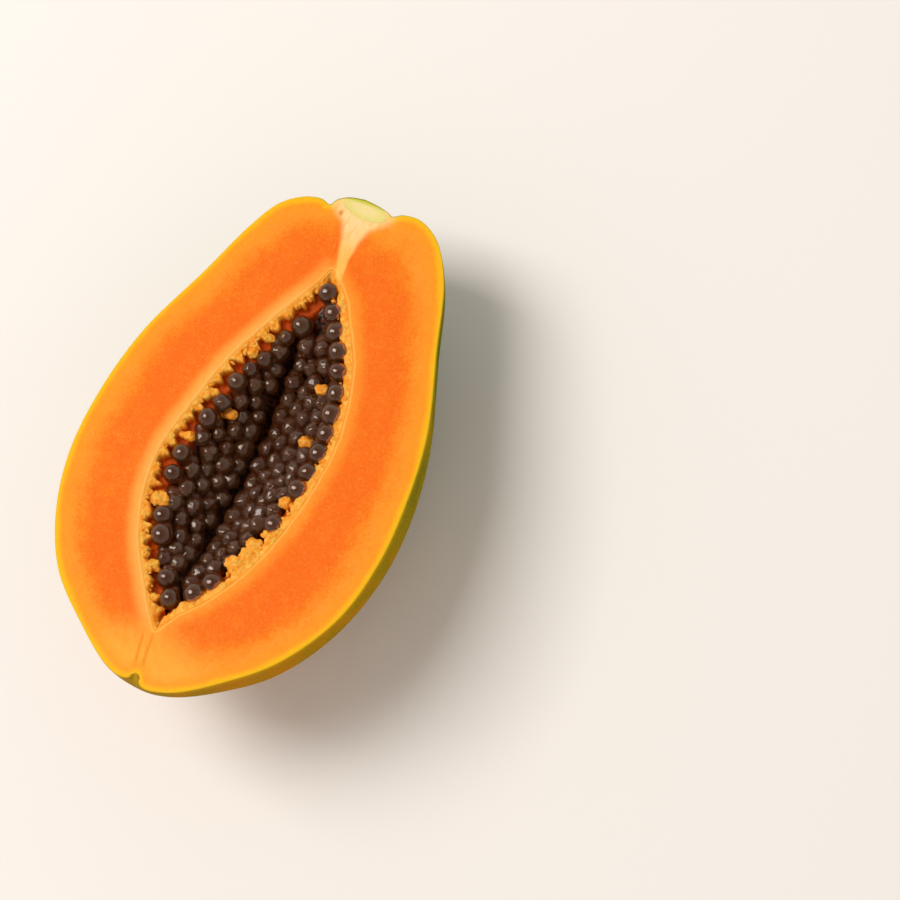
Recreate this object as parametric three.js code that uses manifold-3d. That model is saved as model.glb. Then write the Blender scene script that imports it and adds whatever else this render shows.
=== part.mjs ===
// Half of a ripe papaya, cut lengthwise and lying on its back with the cut face up.
//
// The fruit is drawn whole in its own frame, hollowed by its seed cavity, sliced by the cut plane
// and then turned into its resting pose. In the fruit's frame X runs from the blossom end (0) to the
// stem scar, Y runs across the cut face and Z = 0 is the cut plane. All sizes are in millimetres.
// The finished part stands on Z = 0, with its origin in the middle of the flat spot it rests on.

import * as THREE from "three";
import { mergeVertices } from "three/addons/utils/BufferGeometryUtils.js";
import Module from "manifold-3d";

// Outline of the cut face and the body under it, from the stem scar round the shoulder, down the
// neck and belly to the blossom end. A row is left X, left Y, right X, right Y, depth, squareness.
// Squareness is the exponent of the cross-section: 2 is an ellipse and more is boxier.
const FRUIT_STATIONS = [
  [172.8, 0.0, 172.8, 0.0, 0.0, 2.07], // top of the domed stem scar
  [171.9, 5.5, 172.1, -5.5, 5.4, 2.07],
  [169.9, 9.0, 171.1, -9.2, 9.0, 2.07],
  [167.7, 10.5, 170.4, -11.0, 10.7, 2.07], // groove round the scar
  [168.6, 14.1, 172.0, -14.1, 14.0, 2.05],
  [167.6, 19.6, 172.2, -20.2, 19.7, 2.04], // top of the shoulder
  [162.8, 26.7, 167.5, -28.3, 27.0, 2.02],
  [152.2, 32.7, 155.6, -36.3, 34.2, 2.08],
  [132.6, 40.1, 132.7, -44.3, 42.2, 2.13], // neck
  [106.6, 50.3, 105.6, -53.5, 52.2, 2.16],
  [83.3, 54.5, 83.5, -56.8, 56.3, 2.19],
  [61.4, 54.6, 62.2, -57.2, 54.8, 2.04], // widest part of the belly
  [41.0, 49.5, 40.7, -53.0, 48.6, 1.9],
  [23.2, 39.4, 21.3, -41.6, 39.2, 1.96],
  [9.7, 24.1, 8.2, -26.7, 25.3, 2.05],
  [1.0, 11.6, -0.1, -13.6, 12.6, 2.08],
  [-1.2, 5.3, -2.3, -5.3, 5.4, 2.11], // lips of the blossom dimple
  [-0.8, 2.1, -1.5, -2.3, 2.3, 2.11],
  [1.4, 0.0, 1.4, 0.0, 0.0, 2.11],
];
const LOBES = 5; // faint lobes along the fruit, with the lowest side left flat
const LOBE_SWELL = [0.014, 0.005]; // share of the radius at the neck and at the belly
const LOBE_FADE_DEPTH = 25; // the lobes die out where the body is thinner than this
const BELLY_X = 60;
const NECK_X = 130;

// The seed cavity: X, left Y, right Y, depth, from the stem tip to the blossom tip.
const CAVITY_STATIONS = [
  [146.4, 0.3, -0.3, 0.3],
  [139.5, 2.9, -7.7, 6.0],
  [131.0, 7.6, -13.2, 11.5],
  [120.0, 13.0, -19.7, 17.0],
  [106.0, 18.9, -24.5, 22.0],
  [90.0, 22.9, -26.9, 25.0],
  [73.0, 26.2, -25.6, 26.0],
  [57.0, 24.5, -22.5, 24.0],
  [43.0, 19.3, -17.2, 19.0],
  [31.5, 12.0, -10.2, 12.5],
  [23.0, 5.9, -3.0, 6.5],
  [17.0, 1.0, 0.6, 0.3],
];
const FIRST_X = CAVITY_STATIONS[0][0];
const LAST_X = CAVITY_STATIONS[CAVITY_STATIONS.length - 1][0];
const TIP_POINT = 0.2; // how far each tip runs on past its last station
const TIP_SHORTENING = 4; // a drawn-in cavity's tips recede this many times its clearance

// Torn pulp that stands out of the wall just under the rim.
const TUFT_SPACING = 4.2;
const TUFT_LENGTH = [2.4, 4.8];
const TUFT_WIDTH = [1.6, 2.8];
const TUFT_DROP = [1.3, 2.6]; // below the cut plane
const TUFT_ROOT = 1.5; // sunk into the wall
const TUFT_SIDES = 6;
const LEAST_TUFT = 0.8; // a tuft with less room than this is left out
const TIP_BARE = 5.0; // no tufts this close to the cavity's tips

// Lumps of pulp left on the banks where seeds have fallen out: X, Y, length, width.
const LUMPS = [
  [119.0, 10.3, 3.6, 2.8],
  [112.5, 13.2, 4.6, 3.2],
  [95.6, 19.3, 4.2, 2.8],
  [92.0, 12.2, 3.4, 3.2],
  [79.5, 20.0, 3.6, 2.8],
  [57.0, 20.0, 6.4, 4.4],
  [36.0, 12.0, 4.8, 3.4],
  [109.4, -12.9, 4.4, 3.0],
  [91.5, -15.2, 4.8, 3.4],
  [70.0, -19.0, 4.0, 3.6],
  [53.5, -16.2, 5.6, 4.2],
  [45.5, -13.6, 6.6, 4.6],
];
const LUMP_HEIGHT = 2.6;
const LUMP_ROUGHNESS = 0.22; // share of its radius that a corner may move
const LUMP_TURN = 0.5; // range of their turns about the upright, in radians
const LUMP_ROOT = 0.8; // width of its root as a share of the lump's
const LUMP_AXIS_HEIGHT = 4; // lumps grow from the wall towards a line this far over the cut

// Seeds lie on two banks, which slope from the rims down to a groove along the middle.
const RIM_SEED_DIAMETER = [6.6, 7.6]; // a row of the largest seeds runs along each rim
const RIM_SEED_PITCH = 7.3;
const RIM_PITCH_SHARE = 0.15; // most that the pitch falls short, as a share of it
const RIM_SEED_SPACING = 0.85; // least between two centres, as a share of the diameter
const RIM_INSET = [6.3, 4.6]; // of those rows from the left and right rims
const SEED_DIAMETER = [5.2, 6.7];
const SEED_SIDES = 7;
const SEED_PITCH = 6.1; // along the fruit
const ROW_PITCH = 4.3; // across it
const SEED_JITTER = 0.9;
const SEED_LIFT = 0.9; // how far a seed stands above or below its bank
const NUDGES = 60; // passes that push overlapping seeds apart
const START_SPACING = 0.68; // least from an inner seed to a rim seed, as a share of touching
const TIP_INSET = 7.0; // of the end seeds from the cavity's tips
const BANK_TOP = 2.6; // depth of the rim rows
const SHALLOW_SHARE = 0.5; // of the cavity's depth, where that is less than twice BANK_TOP
const GROOVE_Y = 2.4;
const GROOVE_HALF = 0.8; // least half-width of the groove
const GROOVE_CLEAR = 3.6; // no seed's centre lies this near to the groove, where there is room
const GROOVE_LIFT = 8.0; // from the cavity's bottom to the groove
const CORE_DROP = 1.4; // from the seeds' centres to the packed seeds under them
const CORE_RINGS = 15;
const CORE_EDGE = [3.0, 6.5]; // beyond the rim, and the depth of the core's outer edge there
const CLEARANCE = 0.45; // between the seeds and the flesh

// The half balances on this point of its skin, with its stem end tipped down.
const REST_TILT = THREE.MathUtils.degToRad(7.1);
const REST_POINT = [88.1, -1.2, -55.4];
const FLAT_SPOT_DEPTH = 0.6; // shaved off where it rests

const FRUIT_MESH = { steps: 2, around: 40 };
const CAVITY_MESH = { steps: 2, around: 24 };
const CORE_MESH = { steps: 1, around: 16 };
const BIG = 400; // half the side of the boxes that cut the fruit
const STEP = 0.25; // of a walk along a rim

const wasm = await Module();
wasm.setup();

// Random numbers from 0 to 1, the same in every run.
function randomFrom(seed) {
  let state = seed;
  return () => {
    state = (state * 16807) % 2147483647;
    return state / 2147483647;
  };
}

const between = (range, share) => range[0] + (range[1] - range[0]) * share;

// Knots for a smooth curve through the rows, from the chords between their first columns.
function knotsOf(rows, columns) {
  const knots = [0];
  for (let i = 1; i < rows.length; i++) {
    let square = 0;
    for (let c = 0; c < columns; c++) square += (rows[i][c] - rows[i - 1][c]) ** 2;
    knots.push(knots[i - 1] + Math.sqrt(Math.sqrt(square)));
  }
  return knots;
}

// A cubic Hermite curve through the rows, at parameter t.
function curveAt(rows, knots, t) {
  const last = rows.length - 1;
  let i = 0;
  while (i < last - 1 && t >= knots[i + 1]) i++;
  const slope = (k) => rows[k + 1].map((v, c) => (v - rows[k][c]) / (knots[k + 1] - knots[k]));
  const tangent = (k) => {
    if (k === 0) return slope(0);
    if (k === last) return slope(last - 1);
    const before = knots[k] - knots[k - 1];
    const after = knots[k + 1] - knots[k];
    const a = slope(k - 1);
    const b = slope(k);
    return a.map((v, c) => (v * after + b[c] * before) / (before + after));
  };
  const h = knots[i + 1] - knots[i];
  const q = (t - knots[i]) / h;
  const m0 = tangent(i);
  const m1 = tangent(i + 1);
  return rows[i].map(
    (v, c) =>
      (2 * q ** 3 - 3 * q ** 2 + 1) * v +
      (q ** 3 - 2 * q ** 2 + q) * h * m0[c] +
      (-2 * q ** 3 + 3 * q ** 2) * rows[i + 1][c] +
      (q ** 3 - q ** 2) * h * m1[c],
  );
}

function sampled(rows, columns, steps) {
  const knots = knotsOf(rows, columns);
  const out = [];
  for (let i = 0; i < rows.length - 1; i++)
    for (let s = 0; s < steps; s++)
      out.push(curveAt(rows, knots, knots[i] + ((knots[i + 1] - knots[i]) * s) / steps));
  out.push(rows[rows.length - 1]);
  return out;
}

// A closed solid through rings of points, each end drawn together in a point.
function loft(rings, firstTip, lastTip) {
  const count = rings[0].length;
  const points = [...rings.flat(), firstTip, lastTip];
  const first = points.length - 2;
  const last = points.length - 1;
  const faces = [];
  for (let i = 0; i < rings.length - 1; i++)
    for (let k = 0; k < count; k++) {
      const a = i * count + k;
      const b = i * count + ((k + 1) % count);
      faces.push(a, a + count, b, b, a + count, b + count);
    }
  const base = (rings.length - 1) * count;
  for (let k = 0; k < count; k++) {
    faces.push(first, k, (k + 1) % count);
    faces.push(last, base + ((k + 1) % count), base + k);
  }
  return new THREE.BufferGeometry()
    .setAttribute("position", new THREE.Float32BufferAttribute(points.flat(), 3))
    .setIndex(faces);
}

function solidOf(geometry) {
  const bare = geometry.clone();
  bare.deleteAttribute("normal");
  bare.deleteAttribute("uv");
  const merged = mergeVertices(bare, 1e-4);
  const made = new wasm.Manifold(
    new wasm.Mesh({
      numProp: 3,
      vertProperties: merged.attributes.position.array,
      triVerts: new Uint32Array(merged.index.array),
    }),
  );
  if (made.volume() > 0) return made;
  const turned = new Uint32Array(merged.index.array);
  for (let i = 0; i < turned.length; i += 3)
    [turned[i + 1], turned[i + 2]] = [turned[i + 2], turned[i + 1]];
  return new wasm.Manifold(
    new wasm.Mesh({
      numProp: 3,
      vertProperties: merged.attributes.position.array,
      triVerts: turned,
    }),
  );
}

function geometryOf(solid) {
  const mesh = solid.getMesh();
  const positions = [];
  for (let i = 0; i < mesh.numVert; i++)
    positions.push(...mesh.vertProperties.subarray(i * mesh.numProp, i * mesh.numProp + 3));
  return new THREE.BufferGeometry()
    .setAttribute("position", new THREE.Float32BufferAttribute(positions, 3))
    .setIndex(new THREE.BufferAttribute(mesh.triVerts.slice(), 1));
}

const signedPower = (v, power) => Math.sign(v) * Math.abs(v) ** power;

function fruitRing([xl, yl, xr, yr, depth, squareness]) {
  const ring = [];
  const x = (xl + xr) / 2;
  const swell =
    between([LOBE_SWELL[1], LOBE_SWELL[0]], THREE.MathUtils.smoothstep(x, BELLY_X, NECK_X)) *
    Math.min(1, depth / LOBE_FADE_DEPTH);
  for (let k = 0; k < FRUIT_MESH.around; k++) {
    const turn = (2 * Math.PI * k) / FRUIT_MESH.around;
    const lobe = 1 - swell * Math.sin(LOBES * turn);
    const across = signedPower(Math.cos(turn), 2 / squareness) * lobe;
    const down = signedPower(Math.sin(turn), 2 / squareness) * lobe;
    ring.push([
      x + ((xl - xr) / 2) * across,
      (yl + yr) / 2 + ((yl - yr) / 2) * across,
      -depth * down,
    ]);
  }
  return ring;
}

function wholeFruit() {
  const rows = sampled(FRUIT_STATIONS, 4, FRUIT_MESH.steps);
  const rings = rows.slice(1, -1).map(fruitRing);
  const tip = (row) => [row[0], row[1], 0];
  return solidOf(loft(rings, tip(rows[0]), tip(rows.at(-1))));
}

// The cavity, or the same shape drawn in by a clearance.
function cavitySolid(mesh, inset) {
  const rows = sampled(CAVITY_STATIONS, 3, mesh.steps);
  const middle = (FIRST_X + LAST_X) / 2;
  const squeeze = 1 - (inset * TIP_SHORTENING) / (FIRST_X - middle);
  const rings = rows.map(([x, yl, yr, depth]) => {
    const across = Math.max(0.1, (yl - yr) / 2 - inset);
    const down = Math.max(0.1, depth - inset);
    return Array.from({ length: mesh.around }, (_, k) => {
      const turn = (2 * Math.PI * k) / mesh.around;
      return [
        middle + (x - middle) * squeeze,
        (yl + yr) / 2 + across * Math.cos(turn),
        -down * Math.sin(turn),
      ];
    });
  });
  const tip = (ring, step) => [ring[0][0] + step, (ring[0][1] + ring[mesh.around / 2][1]) / 2, 0];
  return solidOf(loft(rings, tip(rings[0], TIP_POINT), tip(rings.at(-1), -TIP_POINT)));
}

const cavityRows = sampled(CAVITY_STATIONS, 3, 12);

// The cavity's left Y, right Y and depth at a place along the fruit.
function cavityAt(x) {
  let i = 0;
  while (i < cavityRows.length - 2 && cavityRows[i + 1][0] > x) i++;
  const [a, b] = [cavityRows[i], cavityRows[i + 1]];
  const share = THREE.MathUtils.clamp((a[0] - x) / (a[0] - b[0]), 0, 1);
  const [yl, yr, depth] = [1, 2, 3].map((c) => a[c] + (b[c] - a[c]) * share);
  return { yl, yr, depth };
}

// The rim on one side, with the direction that points into the cavity at right angles to it.
function rimAt(side, x) {
  const rim = (at) => (side > 0 ? cavityAt(at).yl : cavityAt(at).yr);
  const rise = rim(x + 0.5) - rim(x - 0.5);
  const length = Math.hypot(1, rise);
  return { y: rim(x), inward: [(side * rise) / length, -side / length, 0], stretch: length };
}

// Height of the banks of seeds over the cut plane, which is always negative.
function bankHeight(x, y) {
  const { yl, yr, depth } = cavityAt(x);
  const top = Math.min(BANK_TOP, depth * SHALLOW_SHARE);
  const foot = Math.max(depth - GROOVE_LIFT, top);
  const edge = y > GROOVE_Y ? yl - RIM_INSET[0] : yr + RIM_INSET[1];
  const share = THREE.MathUtils.clamp((y - GROOVE_Y) / (edge - GROOVE_Y || 1), 0, 1);
  return -foot + (foot - top) * share;
}

const distance = (a, b) => Math.hypot(a[0] - b[0], a[1] - b[1], a[2] - b[2]);

// Points along a tuft's axis, each with the tuft's radius there.
function tuftSpine({ root, inward, length, width }) {
  return [0.25, 0.5, 0.75, 1].map((share) => ({
    centre: root.map((v, i) => v + inward[i] * (TUFT_ROOT + length) * share),
    radius: (width / 2) * (1 - share),
  }));
}

function tuftFrom(side, x, length, width, drop) {
  const { y, inward } = rimAt(side, x);
  const root = [x - inward[0] * TUFT_ROOT, y - inward[1] * TUFT_ROOT, -drop];
  return { root, inward, length, width };
}

// A lump of pulp with the direction from it to the wall it grows on, and how far away that is.
function lumpFrom([x, y, length, width]) {
  const { yl, yr, depth } = cavityAt(x);
  const z = bankHeight(x, y);
  const middle = (yl + yr) / 2;
  const away = [0, y - middle, z - LUMP_AXIS_HEIGHT];
  const size = Math.hypot(...away);
  const outward = away.map((v) => v / size);
  const inside = (at) => {
    const [, py, pz] = [0, y, z].map((v, i) => v + outward[i] * at);
    return ((2 * (py - middle)) / (yl - yr)) ** 2 + (pz / depth) ** 2 < 1;
  };
  let reach = 0;
  while (inside(reach)) reach += STEP;
  return { centre: [x, y, z], radius: width / 2, length, width, outward, reach };
}

const lumps = LUMPS.map(lumpFrom);

// Puts a seed that has strayed back between the rims and on its bank.
function insideRims(seed) {
  const x = THREE.MathUtils.clamp(seed.centre[0], LAST_X + TIP_INSET, FIRST_X - TIP_INSET);
  const left = rimAt(1, x);
  const right = rimAt(-1, x);
  const high = left.y - RIM_INSET[0] * left.stretch;
  const low = right.y + RIM_INSET[1] * right.stretch;
  const [above, under] = [GROOVE_Y + GROOVE_CLEAR, GROOVE_Y - GROOVE_CLEAR];
  let y = (left.y + right.y) / 2;
  if (high > low) y = THREE.MathUtils.clamp(seed.centre[1], low, high);
  if (y > GROOVE_Y) y = Math.max(y, Math.min(above, high));
  else y = Math.min(y, Math.max(under, low));
  seed.centre = [x, y, bankHeight(x, y) + seed.lift];
}

// Moves a seed off whatever it overlaps, by the given share of the overlap.
function nudge(seed, other, share) {
  const gap = distance(seed.centre, other.centre);
  const overlap = seed.radius + other.radius - gap;
  if (overlap <= 0) return;
  for (const c of [0, 1])
    seed.centre[c] += ((seed.centre[c] - other.centre[c]) / gap) * overlap * share;
}

function nudgeApart(rimSeeds, innerSeeds) {
  for (const seed of innerSeeds) {
    for (const other of innerSeeds) if (other !== seed) nudge(seed, other, 0.5);
    for (const other of [...rimSeeds, ...lumps]) nudge(seed, other, 1);
  }
  innerSeeds.forEach(insideRims);
}

// One row of large seeds along each rim, as far as the groove between the banks. A row is left
// open where a lump of pulp stands.
function placeRimSeeds(random) {
  const seeds = [];
  for (const side of [1, -1]) {
    let walked = RIM_SEED_PITCH;
    for (let x = FIRST_X - TIP_INSET; x > LAST_X + TIP_INSET; x -= STEP) {
      const rim = rimAt(side, x);
      walked += STEP * rim.stretch;
      if (walked < RIM_SEED_PITCH) continue;
      walked = RIM_SEED_PITCH * RIM_PITCH_SHARE * random();
      const radius = between(RIM_SEED_DIAMETER, random()) / 2;
      const lift = (SEED_LIFT / 2) * (2 * random() - 1);
      const y = rim.y - side * RIM_INSET[side > 0 ? 0 : 1] * rim.stretch;
      const seed = { centre: [x, y, bankHeight(x, y) + lift], radius, lift };
      if ((y - GROOVE_Y / 2) * side < 0) continue;
      if (lumps.some((lump) => distance(lump.centre, seed.centre) < lump.radius + radius)) continue;
      const spacing = 2 * radius * RIM_SEED_SPACING;
      if (seeds.every((other) => distance(other.centre, seed.centre) > spacing)) seeds.push(seed);
    }
  }
  return seeds;
}

// Staggered rows of smaller seeds between the rim rows, and in the gaps of those.
function placeInnerSeeds(random, rimSeeds) {
  const seeds = [];
  const reach = CAVITY_STATIONS.flatMap(([, yl, yr]) => [yl, yr]);
  let row = 0;
  for (let y = Math.min(...reach); y < Math.max(...reach); y += ROW_PITCH) {
    row++;
    for (let x = LAST_X + (row % 2) * SEED_PITCH * 0.5; x < FIRST_X; x += SEED_PITCH) {
      const spot = [x, y].map((v) => v + SEED_JITTER * (2 * random() - 1));
      const radius = between(SEED_DIAMETER, random()) / 2;
      const lift = SEED_LIFT * (2 * random() - 1);
      const { yl, yr } = cavityAt(spot[0]);
      if (spot[1] > yl - RIM_INSET[0] || spot[1] < yr + RIM_INSET[1]) continue;
      const seed = { centre: [...spot, bankHeight(...spot) + lift], radius, lift };
      const clear = (other) =>
        distance(other.centre, seed.centre) > (other.radius + radius) * START_SPACING;
      if ([...rimSeeds, ...lumps].every(clear)) seeds.push(seed);
    }
  }
  return seeds;
}

// Every seed of the top layer, the inner ones nudged apart along the banks.
function placeSeeds() {
  const random = randomFrom(20260);
  const rimSeeds = placeRimSeeds(random);
  const innerSeeds = placeInnerSeeds(random, rimSeeds);
  for (let pass = 0; pass < NUDGES; pass++) nudgeApart(rimSeeds, innerSeeds);
  return [...rimSeeds, ...innerSeeds];
}

// A cone that tapers from its base along a direction.
function cone(base, direction, radius, height) {
  const geometry = new THREE.ConeGeometry(radius, height, TUFT_SIDES, 1);
  geometry.translate(0, height / 2, 0);
  const turn = new THREE.Quaternion().setFromUnitVectors(
    new THREE.Vector3(0, 1, 0),
    new THREE.Vector3(...direction),
  );
  geometry.applyQuaternion(turn);
  geometry.translate(...base);
  return solidOf(geometry);
}

const tuftSolid = ({ root, inward, length, width }) =>
  cone(root, inward, width / 2, TUFT_ROOT + length);

// An uneven lump and the root that joins it to the wall, both grown by an extra amount.
function lumpSolid({ centre, length, width, outward, reach }, index, extra) {
  const random = randomFrom(100 + index);
  const geometry = new THREE.IcosahedronGeometry(1, 1);
  geometry.deleteAttribute("normal");
  geometry.deleteAttribute("uv");
  const body = mergeVertices(geometry);
  const at = body.attributes.position;
  for (let i = 0; i < at.count; i++) {
    const swell = 1 + LUMP_ROUGHNESS * (2 * random() - 1);
    at.setXYZ(i, at.getX(i) * swell, at.getY(i) * swell, at.getZ(i) * swell);
  }
  body.scale(width / 2 + extra, length / 2 + extra, LUMP_HEIGHT / 2 + extra);
  body.rotateZ(LUMP_TURN * (random() - 0.5));
  body.translate(...centre);
  const base = centre.map((v, i) => v + outward[i] * (reach + TUFT_ROOT));
  const inward = outward.map((v) => -v);
  const root = cone(base, inward, (width / 2) * LUMP_ROOT + extra, reach + TUFT_ROOT);
  return solidOf(body).add(root);
}

// The longest tuft, up to the one wanted, that keeps clear of the seeds.
function trimmed(tuft, seeds) {
  for (let length = tuft.length; length > LEAST_TUFT; length -= STEP) {
    const spine = tuftSpine({ ...tuft, length });
    const clear = (spot, seed) =>
      distance(spot.centre, seed.centre) > spot.radius + seed.radius + CLEARANCE;
    if (spine.every((spot) => seeds.every((seed) => clear(spot, seed)))) return { ...tuft, length };
  }
  return null;
}

function tufts(seeds) {
  const random = randomFrom(771);
  const found = [];
  for (const side of [1, -1]) {
    let walked = 0;
    for (let x = FIRST_X - TIP_BARE; x > LAST_X + TIP_BARE; x -= STEP) {
      walked += STEP * rimAt(side, x).stretch;
      if (walked < TUFT_SPACING) continue;
      walked = 0;
      const [length, width, drop] = [TUFT_LENGTH, TUFT_WIDTH, TUFT_DROP].map((range) =>
        between(range, random()),
      );
      const tuft = trimmed(tuftFrom(side, x, length, width, drop), seeds);
      if (tuft) found.push(tuft);
    }
  }
  return found;
}

function box(low, high) {
  const size = low.map((v, i) => high[i] - v);
  const geometry = new THREE.BoxGeometry(...size);
  geometry.translate(...low.map((v, i) => v + size[i] / 2));
  return solidOf(geometry);
}

const joined = (solids) => solids.reduce((a, b) => a.add(b));

function largest(solid) {
  return solid.decompose().reduce((a, b) => (a.volume() > b.volume() ? a : b));
}

function fleshAndSkin(seeds) {
  const hollow = wholeFruit().subtract(cavitySolid(CAVITY_MESH, 0));
  const above = box([-BIG, -BIG, 0], [BIG, BIG, BIG]);
  const pulp = joined([
    ...tufts(seeds).map(tuftSolid),
    ...lumps.map((lump, i) => lumpSolid(lump, i, 0)),
  ]);
  return largest(hollow.add(pulp).subtract(above));
}

// The space above the packed seeds: a trough whose floor follows both banks.
function openTrough() {
  const [beyond, edge] = CORE_EDGE;
  const rings = [];
  for (let i = 0; i < CORE_RINGS; i++) {
    const x = between([FIRST_X, LAST_X], i / (CORE_RINGS - 1));
    const near = THREE.MathUtils.clamp(x, LAST_X + TIP_INSET, FIRST_X - TIP_INSET);
    const { yl, yr } = cavityAt(near);
    const left = Math.max(GROOVE_Y + GROOVE_HALF, yl - RIM_INSET[0]);
    const right = Math.min(GROOVE_Y - GROOVE_HALF, yr + RIM_INSET[1]);
    const floor = [left, GROOVE_Y, right].map((y) => [x, y, bankHeight(near, y) - CORE_DROP]);
    rings.push([
      [x, yl + beyond, BIG],
      [x, yl + beyond, -edge],
      ...floor,
      [x, yr - beyond, -edge],
      [x, yr - beyond, BIG],
    ]);
  }
  const tip = (ring, step) => [ring[0][0] + step, 0, BIG / 2];
  return solidOf(loft(rings, tip(rings[0], TIP_INSET), tip(rings.at(-1), -TIP_INSET)));
}

// Single seeds on top, fused to a core that follows the cavity's wall.
function seedMass(seeds) {
  const balls = seeds.map(({ centre, radius }, i) => {
    const geometry = new THREE.SphereGeometry(radius, SEED_SIDES, SEED_SIDES - 3);
    geometry.rotateX(Math.PI / 2 + 0.3 * Math.sin(i));
    geometry.rotateZ(i);
    geometry.translate(...centre);
    return solidOf(geometry);
  });
  const core = cavitySolid(CORE_MESH, CLEARANCE).subtract(openTrough());
  const pits = joined(lumps.map((lump, i) => lumpSolid(lump, i, CLEARANCE)));
  const mass = joined(balls).add(core).subtract(pits);
  return largest(mass.intersect(cavitySolid(CAVITY_MESH, CLEARANCE)));
}

const restPose = new THREE.Matrix4()
  .makeTranslation(0, 0, -FLAT_SPOT_DEPTH)
  .multiply(new THREE.Matrix4().makeRotationY(REST_TILT))
  .multiply(new THREE.Matrix4().makeTranslation(...REST_POINT.map((v) => -v)));

function resting(solid) {
  return solidOf(geometryOf(solid).applyMatrix4(restPose));
}

function part(name, solid, color, roughness) {
  const material = new THREE.MeshStandardMaterial({ color, roughness, metalness: 0 });
  const mesh = new THREE.Mesh(geometryOf(solid), material);
  mesh.name = name;
  return mesh;
}

const underFloor = box([-BIG, -BIG, -BIG], [BIG, BIG, 0]);
const papayaHalf = new THREE.Group();
const seeds = placeSeeds();
papayaHalf.add(
  part("fruit_half", resting(fleshAndSkin(seeds)).subtract(underFloor), 0xf47a1f, 0.45),
  part("seeds", resting(seedMass(seeds)), 0x1d120c, 0.2),
);

export default papayaHalf;
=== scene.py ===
"""Half of a ripe papaya on a pale table, seen from above with its cut face and seeds."""

import math

import bmesh
import bpy
import numpy as np
from mathutils import Matrix, Vector, noise


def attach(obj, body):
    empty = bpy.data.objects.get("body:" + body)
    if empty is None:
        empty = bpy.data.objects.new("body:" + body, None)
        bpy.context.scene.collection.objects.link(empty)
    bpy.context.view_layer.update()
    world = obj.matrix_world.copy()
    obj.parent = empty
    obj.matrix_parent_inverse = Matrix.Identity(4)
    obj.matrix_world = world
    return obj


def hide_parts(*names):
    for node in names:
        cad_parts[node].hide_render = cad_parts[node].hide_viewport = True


MM = 0.001

# Outline of the cut face and the body under it, from the stem scar to the blossom end, in mm.
# A row is left X, left Y, right X, right Y, depth, squareness of the cross-section.
FRUIT_STATIONS = np.array([
    [172.8, 0.0, 172.8, 0.0, 0.0, 2.07],
    [171.9, 5.5, 172.1, -5.5, 5.4, 2.07],
    [169.9, 9.0, 171.1, -9.2, 9.0, 2.07],
    [167.7, 10.5, 170.4, -11.0, 10.7, 2.07],
    [168.6, 14.1, 172.0, -14.1, 14.0, 2.05],
    [167.6, 19.6, 172.2, -20.2, 19.7, 2.04],
    [162.8, 26.7, 167.5, -28.3, 27.0, 2.02],
    [152.2, 32.7, 155.6, -36.3, 34.2, 2.08],
    [132.6, 40.1, 132.7, -44.3, 42.2, 2.13],
    [106.6, 50.3, 105.6, -53.5, 52.2, 2.16],
    [83.3, 54.5, 83.5, -56.8, 56.3, 2.19],
    [61.4, 54.6, 62.2, -57.2, 54.8, 2.04],
    [41.0, 49.5, 40.7, -53.0, 48.6, 1.9],
    [23.2, 39.4, 21.3, -41.6, 39.2, 1.96],
    [9.7, 24.1, 8.2, -26.7, 25.3, 2.05],
    [1.0, 11.6, -0.1, -13.6, 12.6, 2.08],
    [-1.2, 5.3, -2.3, -5.3, 5.4, 2.11],
    [-0.8, 2.1, -1.5, -2.3, 2.3, 2.11],
    [1.4, 0.0, 1.4, 0.0, 0.0, 2.11],
])
# The seed cavity: X, left Y, right Y, depth.
CAVITY_STATIONS = np.array([
    [146.4, 0.3, -0.3, 0.3],
    [139.5, 2.9, -7.7, 6.0],
    [131.0, 7.6, -13.2, 11.5],
    [120.0, 13.0, -19.7, 17.0],
    [106.0, 18.9, -24.5, 22.0],
    [90.0, 22.9, -26.9, 25.0],
    [73.0, 26.2, -25.6, 26.0],
    [57.0, 24.5, -22.5, 24.0],
    [43.0, 19.3, -17.2, 19.0],
    [31.5, 12.0, -10.2, 12.5],
    [23.0, 5.9, -3.0, 6.5],
    [17.0, 1.0, 0.6, 0.3],
])
FIRST_X, LAST_X = CAVITY_STATIONS[0, 0], CAVITY_STATIONS[-1, 0]
# The pale strand from the cavity to the stem scar: X, middle Y, half its width.
STRAND_STATIONS = np.array([
    [140.0, -3.6, 1.3],
    [146.0, -3.0, 1.6],
    [151.5, -1.8, 2.2],
    [158.0, -1.25, 3.6],
    [163.0, -1.0, 5.6],
    [165.0, -0.9, 8.5],
    [168.0, -0.73, 12.0],
    [172.0, -0.5, 12.0],
])
STRAND_FADE = (139, 148)  # it fades in between these X
SCAR_MIDDLE = (169.7, -1.3)
SCAR_REACH = (3.3, 8.0)  # from its middle, along and across the fruit
SCAR_TURN = math.radians(9)

LOBES = 5
LOBE_SWELL = (0.005, 0.014)  # at the belly and at the neck, as a share of the radius
LOBE_FADE_DEPTH = 25  # where the fruit is less deep than this, its lobes fade
BELLY_X, NECK_X = 60, 130
TRIM = 0.9985  # keeps the finer curves inside the faceted solid

REST_TILT = math.radians(7.1)
REST_POINT = Vector((88.1, -1.2, -55.4))
FLAT_SPOT_DEPTH = 0.6

# Lumps of pulp left on the banks where seeds have fallen out: X, Y, length, width.
LUMPS = np.array([
    [119.0, 10.3, 3.6, 2.8],
    [112.5, 13.2, 4.6, 3.2],
    [95.6, 19.3, 4.2, 2.8],
    [92.0, 12.2, 3.4, 3.2],
    [79.5, 20.0, 3.6, 2.8],
    [57.0, 20.0, 6.4, 4.4],
    [36.0, 12.0, 4.8, 3.4],
    [109.4, -12.9, 4.4, 3.0],
    [91.5, -15.2, 4.8, 3.4],
    [70.0, -19.0, 4.0, 3.6],
    [53.5, -16.2, 5.6, 4.2],
    [45.5, -13.6, 6.6, 4.6],
])
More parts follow.
